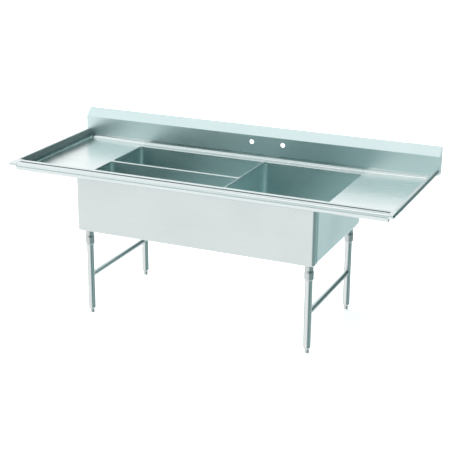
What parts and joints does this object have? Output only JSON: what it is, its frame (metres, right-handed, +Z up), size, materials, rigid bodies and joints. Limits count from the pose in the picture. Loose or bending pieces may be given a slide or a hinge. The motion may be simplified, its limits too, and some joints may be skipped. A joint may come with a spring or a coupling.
{
  "type": "compartment sink",
  "caption": "Free-standing stainless compartment sink with drainboards at both ends, a splash with faucet holes, tube legs, adjustable bullet feet and basket drains.",
  "frame": {"origin": "on the floor, under the centre of the whole sink's outline", "axes": "+X along the length towards the single full-depth compartment, +Y towards the wall and splash, +Z up; the front faces -Y"},
  "size_m": [2.335, 0.967, 1.048],
  "materials": {
    "bowl_sheet": "satin stainless sheet, brushed",
    "deck_sheet": "satin stainless sheet, brushed along the length",
    "apron_sheet": "satin stainless sheet, brushed along the length",
    "drainboard_sheet": "satin stainless sheet, brushed",
    "rim_sheet": "polished stainless rim",
    "splash_sheet": "satin stainless sheet, brushed along the length",
    "channel_sheet": "mill finish stainless",
    "leg_steel": "stainless tube, satin",
    "socket_steel": "cast stainless socket, satin",
    "foot_steel": "machined stainless foot",
    "insert_steel": "machined steel insert",
    "screw_steel": "machined steel screw",
    "gasket_rubber": "black sealing rubber",
    "locknut_brass": "cast brass, tumbled",
    "drain_steel": "polished drain fitting",
    "basket_steel": "polished perforated basket"
  },
  "bodies": {
    "sink": {"apron_clips": "channel_sheet", "backsplash": "splash_sheet", "bowl_deck": "deck_sheet", "bowl_front_left": "bowl_sheet", "bowl_rear_left": "bowl_sheet", "bowl_right": "bowl_sheet", "cross_brace_left": "leg_steel", "cross_brace_right": "leg_steel", "drain_body_front_left": "drain_steel", "drain_body_rear_left": "drain_steel", "drain_body_right": "drain_steel", "drain_gasket_front_left": "gasket_rubber", "drain_gasket_rear_left": "gasket_rubber", "drain_gasket_right": "gasket_rubber", "drain_locknut_front_left": "locknut_brass", "drain_locknut_rear_left": "locknut_brass", "drain_locknut_right": "locknut_brass", "drainboard_channel_left": "channel_sheet", "drainboard_channel_right": "channel_sheet", "drainboard_left": "drainboard_sheet", "drainboard_right": "drainboard_sheet", "foot_insert_front_left": "insert_steel", "foot_insert_front_right": "insert_steel", "foot_insert_rear_left": "insert_steel", "foot_insert_rear_right": "insert_steel", "front_apron": "apron_sheet", "front_rim": "rim_sheet", "leg_plate_front_left": "socket_steel", "leg_plate_front_right": "socket_steel", "leg_plate_rear_left": "socket_steel", "leg_plate_rear_right": "socket_steel", "leg_socket_front_left": "socket_steel", "leg_socket_front_right": "socket_steel", "leg_socket_rear_left": "socket_steel", "leg_socket_rear_right": "socket_steel", "leg_tube_front_left": "leg_steel", "leg_tube_front_right": "leg_steel", "leg_tube_rear_left": "leg_steel", "leg_tube_rear_right": "leg_steel", "rear_ledge": "deck_sheet", "rim_corner_left": "rim_sheet", "rim_corner_right": "rim_sheet", "side_rim_left": "rim_sheet", "side_rim_right": "rim_sheet", "socket_set_screws": "screw_steel", "splash_end_cap_left": "splash_sheet", "splash_end_cap_right": "splash_sheet"},
    "foot_front_left": {"bullet_foot_front_left": "foot_steel"},
    "foot_front_right": {"bullet_foot_front_right": "foot_steel"},
    "foot_rear_left": {"bullet_foot_rear_left": "foot_steel"},
    "foot_rear_right": {"bullet_foot_rear_right": "foot_steel"},
    "basket_front_left": {"strainer_basket_front_left": "basket_steel"},
    "basket_rear_left": {"strainer_basket_rear_left": "basket_steel"},
    "basket_right": {"strainer_basket_right": "basket_steel"}
  },
  "joints": [
    {"name": "foot_front_left_screw", "type": "slide", "parent": "sink", "child": "foot_front_left", "axis": [0, 0, 1], "range_m": [-0.025, 0]},
    {"name": "foot_front_right_screw", "type": "slide", "parent": "sink", "child": "foot_front_right", "axis": [0, 0, 1], "range_m": [-0.025, 0]},
    {"name": "foot_rear_left_screw", "type": "slide", "parent": "sink", "child": "foot_rear_left", "axis": [0, 0, 1], "range_m": [-0.025, 0]},
    {"name": "foot_rear_right_screw", "type": "slide", "parent": "sink", "child": "foot_rear_right", "axis": [0, 0, 1], "range_m": [-0.025, 0]},
    {"name": "basket_front_left_lift", "type": "slide", "parent": "sink", "child": "basket_front_left", "axis": [0, 0, 1], "range_m": [0, 0.55]},
    {"name": "basket_rear_left_lift", "type": "slide", "parent": "sink", "child": "basket_rear_left", "axis": [0, 0, 1], "range_m": [0, 0.55]},
    {"name": "basket_right_lift", "type": "slide", "parent": "sink", "child": "basket_right", "axis": [0, 0, 1], "range_m": [0, 0.55]}
  ]
}
